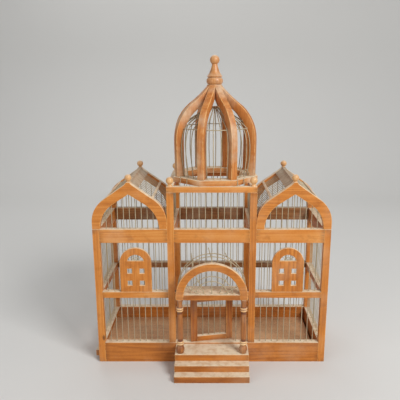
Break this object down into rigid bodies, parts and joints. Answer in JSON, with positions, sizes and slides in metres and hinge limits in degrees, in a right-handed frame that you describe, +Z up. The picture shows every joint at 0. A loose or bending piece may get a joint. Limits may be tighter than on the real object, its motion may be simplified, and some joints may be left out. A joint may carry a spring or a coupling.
{
  "type": "wooden birdcage",
  "caption": "Tall wooden birdcage like a small palace: gabled wings, a square tower with a ribbed onion dome, wire walls, a porch with steps, a hinged door and a pull-out tray.",
  "frame": {"origin": "middle of the cage body on its underside, without the porch steps and the dome", "axes": "+X to the viewer's right along the front, +Y from the porch towards the back, +Z up"},
  "size_m": [0.572, 0.3087, 0.7424],
  "materials": {
    "frame_wood": "satin lacquer over stained softwood",
    "dome_wood": "satin lacquer over stained softwood",
    "turned_wood": "satin lacquer on turned hardwood",
    "panel_wood": "matt, dusty",
    "wire": "dull, slightly rusted",
    "pin": "dull"
  },
  "bodies": {
    "root": {"back_board": "frame_wood", "back_mid_rails": "frame_wood", "back_top_rails": "frame_wood", "back_wires": "wire", "base_panel": "panel_wood", "corner_posts": "frame_wood", "dome_button": "turned_wood", "dome_finial": "turned_wood", "dome_hoop": "wire", "dome_hub": "dome_wood", "dome_ribs": "dome_wood", "dome_ring": "dome_wood", "dome_wires": "wire", "door_pins": "pin", "end_wires": "wire", "front_board": "frame_wood", "front_centre_wires": "wire", "front_mid_rails": "frame_wood", "front_top_rails": "frame_wood", "front_wing_wires": "wire", "gable_back_left": "frame_wood", "gable_back_right": "frame_wood", "gable_finials": "turned_wood", "gable_front_left": "frame_wood", "gable_front_right": "frame_wood", "gable_wires": "wire", "left_ridge_boards": "frame_wood", "left_roof_wires": "wire", "left_window": "frame_wood", "porch_arch": "frame_wood", "porch_bottom_step": "frame_wood", "porch_ceiling": "frame_wood", "porch_columns": "turned_wood", "porch_fanlight": "wire", "porch_lintel": "frame_wood", "porch_middle_step": "frame_wood", "porch_platform": "frame_wood", "porch_vault": "wire", "right_board": "frame_wood", "right_ridge_boards": "frame_wood", "right_roof_wires": "wire", "right_window": "frame_wood", "roof_slats": "frame_wood", "side_mid_rails": "frame_wood", "side_top_rails": "frame_wood", "tower_cap_rails": "frame_wood", "tower_face_wires": "wire", "tower_finials": "turned_wood", "tower_posts": "frame_wood", "tower_side_rails": "frame_wood", "tower_side_wires": "wire", "tray_slot_rail": "frame_wood"},
    "door": {"door_hinge_stile": "frame_wood", "door_free_stile": "frame_wood", "door_rails": "frame_wood", "door_wires": "wire"},
    "tray": {"tray_pull": "frame_wood", "tray_panel": "panel_wood", "tray_runners": "frame_wood"}
  },
  "joints": [
    {"name": "door_hinge", "type": "hinge", "parent": "root", "child": "door", "pos_m": [-0.048, -0.1, 0.112], "axis": [0, 0, 1], "range_deg": [-101, 79]},
    {"name": "tray_slide", "type": "slide", "parent": "root", "child": "tray", "axis": [-1, 0, 0], "range_m": [-0.005, 0.42]}
  ]
}
